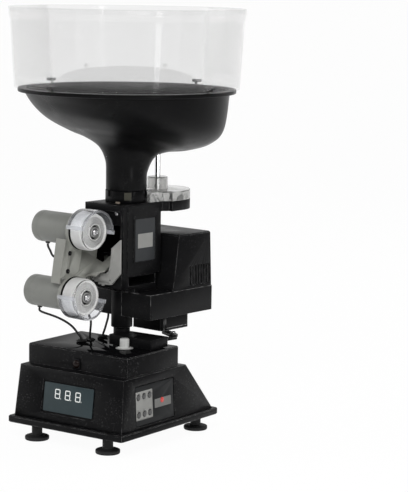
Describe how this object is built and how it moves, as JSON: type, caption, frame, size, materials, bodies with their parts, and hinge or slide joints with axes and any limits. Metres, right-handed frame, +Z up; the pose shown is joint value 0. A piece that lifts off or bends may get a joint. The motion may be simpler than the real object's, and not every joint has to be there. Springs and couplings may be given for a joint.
{
  "type": "table tennis robot",
  "caption": "Table tennis ball-throwing robot: clear-collared hopper on a sweeping turret, tilting two-wheel throwing head and a control base.",
  "frame": {"origin": "on the floor plane under the hopper's vertical axis", "axes": "+Z up; the robot throws towards -Y; +X is the side with the control buttons"},
  "size_m": [0.3356, 0.3356, 0.611],
  "materials": {
    "black_plastic": "fine grained, satin",
    "gloss_black": "glossy",
    "black_paint": "black paint, satin",
    "grey_plastic": "satin",
    "light_grey": "satin",
    "motor_grey": "grey paint, satin",
    "white_foam": "matt, fine open cells",
    "white_plastic": "satin",
    "hub_plastic": "semi-gloss, pale grey",
    "frosted_plastic": "translucent white",
    "clear_plastic": "clear moulded plastic, glossy",
    "display_teal": "smoked teal window",
    "lens_black": "polished",
    "red_plastic": "semi-gloss",
    "rubber_black": "matt",
    "lead_rubber": "semi-gloss sleeve",
    "bright_steel": "polished",
    "board_green": "varnished board"
  },
  "bodies": {
    "base": {"base_plate": "black_plastic", "base_shell": "gloss_black", "display_panel": "display_teal", "control_panel": "black_plastic", "ir_receiver": "lens_black", "power_jack": "black_plastic", "circuit_board": "board_green", "pivot_bracket": "black_paint", "grommet_1": "rubber_black", "grommet_2": "rubber_black", "grommet_3": "rubber_black", "lead_lower_motor": "lead_rubber", "lead_upper_motor": "lead_rubber", "lead_feed": "lead_rubber"},
    "button_1_body": {"button_1": "black_plastic"},
    "button_2_body": {"button_2": "black_plastic"},
    "button_3_body": {"button_3": "black_plastic"},
    "button_4_body": {"button_4": "black_plastic"},
    "button_5_body": {"button_5": "black_plastic"},
    "button_6_body": {"button_6": "black_plastic"},
    "power_button_body": {"power_button": "red_plastic"},
    "sweep_knob_body": {"sweep_knob": "frosted_plastic"},
    "foot_1_body": {"foot_1": "rubber_black"},
    "foot_2_body": {"foot_2": "rubber_black"},
    "foot_3_body": {"foot_3": "rubber_black"},
    "foot_4_body": {"foot_4": "rubber_black"},
    "link": {"sweep_link": "black_paint"},
    "turret": {"turret_tray": "black_plastic", "rear_cover": "black_plastic", "main_housing": "black_plastic", "side_cover": "black_plastic", "feed_gearmotor": "motor_grey", "hopper_bowl": "black_plastic", "neck_sleeve": "black_plastic", "gear_tray": "black_plastic", "gear_cover": "clear_plastic", "shaft_cup": "clear_plastic", "stirrer_motor": "motor_grey", "sweep_gearbox": "black_plastic", "hinge_bracket": "light_grey", "tilt_pin": "bright_steel"},
    "collar": {"clear_collar": "clear_plastic", "clip_1": "black_plastic", "clip_2": "black_plastic", "clip_3": "black_plastic", "clip_4": "black_plastic"},
    "crank": {"sweep_crank": "bright_steel"},
    "feed": {"feed_wheel": "white_plastic"},
    "stirrer": {"stirrer_shaft": "bright_steel", "stirrer_gear": "white_plastic"},
    "pinion": {"motor_pinion": "white_plastic"},
    "head": {"head_bracket": "grey_plastic", "upper_motor": "motor_grey", "lower_motor": "motor_grey", "upper_guard": "clear_plastic", "lower_guard": "clear_plastic"},
    "upper_wheel": {"upper_tyre": "white_foam", "upper_hub": "hub_plastic"},
    "lower_wheel": {"lower_tyre": "white_foam", "lower_hub": "hub_plastic"}
  },
  "joints": [
    {"name": "turret_sweep", "type": "hinge", "parent": "base", "child": "turret", "pos_m": [-0.00061, -0.00697, 0.19], "axis": [0, 0, 1], "range_deg": [-18, 10], "deforming": ["lead_lower_motor", "lead_upper_motor", "lead_feed"]},
    {"name": "link_swing", "type": "hinge", "parent": "base", "child": "link", "pos_m": [0.052, 0.0055, 0.137], "axis": [0, 0, 1], "range_deg": [-37, 21]},
    {"name": "crank_turn", "type": "hinge", "parent": "turret", "child": "crank", "pos_m": [0.03658, 0.05101, 0.142], "axis": [0, 0, 1], "range_deg": [-20, 35]},
    {"name": "collar_lift", "type": "slide", "parent": "turret", "child": "collar", "axis": [0, 0, 1], "range_m": [0, 0.12]},
    {"name": "feed_spin", "type": "hinge", "parent": "turret", "child": "feed", "pos_m": [0.00035, 0.00398, 0.243], "axis": [0.9962, -0.0872, 0], "continuous": true},
    {"name": "stirrer_spin", "type": "hinge", "parent": "turret", "child": "stirrer", "pos_m": [0.00584, 0.06674, 0.329], "axis": [0, 0, 1], "continuous": true},
    {"name": "pinion_spin", "type": "hinge", "parent": "turret", "child": "pinion", "pos_m": [-0.02503, 0.06046, 0.329], "axis": [0, 0, 1], "continuous": true},
    {"name": "head_tilt", "type": "hinge", "parent": "turret", "child": "head", "pos_m": [-0.00436, -0.04981, 0.229], "axis": [0.9962, -0.0872, 0], "range_deg": [-3, 12], "deforming": ["lead_lower_motor", "lead_upper_motor"]},
    {"name": "upper_wheel_spin", "type": "hinge", "parent": "head", "child": "upper_wheel", "pos_m": [-0.00635, -0.07257, 0.29813], "axis": [0.9962, -0.0872, 0], "continuous": true},
    {"name": "lower_wheel_spin", "type": "hinge", "parent": "head", "child": "lower_wheel", "pos_m": [-0.00772, -0.08822, 0.20687], "axis": [0.9962, -0.0872, 0], "continuous": true},
    {"name": "button_1_press", "type": "slide", "parent": "base", "child": "button_1_body", "axis": [-0.9986, 0, -0.052], "range_m": [0, 0.0008], "stiffness_N_per_m": 400},
    {"name": "button_2_press", "type": "slide", "parent": "base", "child": "button_2_body", "axis": [-0.9986, 0, -0.052], "range_m": [0, 0.0008], "stiffness_N_per_m": 400},
    {"name": "button_3_press", "type": "slide", "parent": "base", "child": "button_3_body", "axis": [-0.9986, 0, -0.052], "range_m": [0, 0.0008], "stiffness_N_per_m": 400},
    {"name": "button_4_press", "type": "slide", "parent": "base", "child": "button_4_body", "axis": [-0.9986, 0, -0.052], "range_m": [0, 0.0008], "stiffness_N_per_m": 400},
    {"name": "button_5_press", "type": "slide", "parent": "base", "child": "button_5_body", "axis": [-0.9986, 0, -0.052], "range_m": [0, 0.0008], "stiffness_N_per_m": 400},
    {"name": "button_6_press", "type": "slide", "parent": "base", "child": "button_6_body", "axis": [-0.9986, 0, -0.052], "range_m": [0, 0.0008], "stiffness_N_per_m": 400},
    {"name": "power_button_press", "type": "slide", "parent": "base", "child": "power_button_body", "axis": [-0.9986, 0, -0.052], "range_m": [0, 0.0008], "stiffness_N_per_m": 400},
    {"name": "sweep_knob_turn", "type": "hinge", "parent": "base", "child": "sweep_knob_body", "pos_m": [0.041, -0.054, 0.14], "axis": [0, 0, 1], "range_deg": [-150, 150]},
    {"name": "foot_1_turn", "type": "hinge", "parent": "base", "child": "foot_1_body", "pos_m": [-0.064, -0.1197, 0.012], "axis": [0, 0, 1], "continuous": true},
    {"name": "foot_2_turn", "type": "hinge", "parent": "base", "child": "foot_2_body", "pos_m": [0.064, -0.1197, 0.012], "axis": [0, 0, 1], "continuous": true},
    {"name": "foot_3_turn", "type": "hinge", "parent": "base", "child": "foot_3_body", "pos_m": [0.076, 0.0723, 0.012], "axis": [0, 0, 1], "continuous": true},
    {"name": "foot_4_turn", "type": "hinge", "parent": "base", "child": "foot_4_body", "pos_m": [-0.076, 0.0723, 0.012], "axis": [0, 0, 1], "continuous": true}
  ],
  "couplings": [
    {"joint": "link_swing", "follows": "turret_sweep", "ratio": 2.05},
    {"joint": "crank_turn", "follows": "turret_sweep", "ratio": -1.9},
    {"joint": "pinion_spin", "follows": "stirrer_spin", "ratio": -2.5}
  ]
}
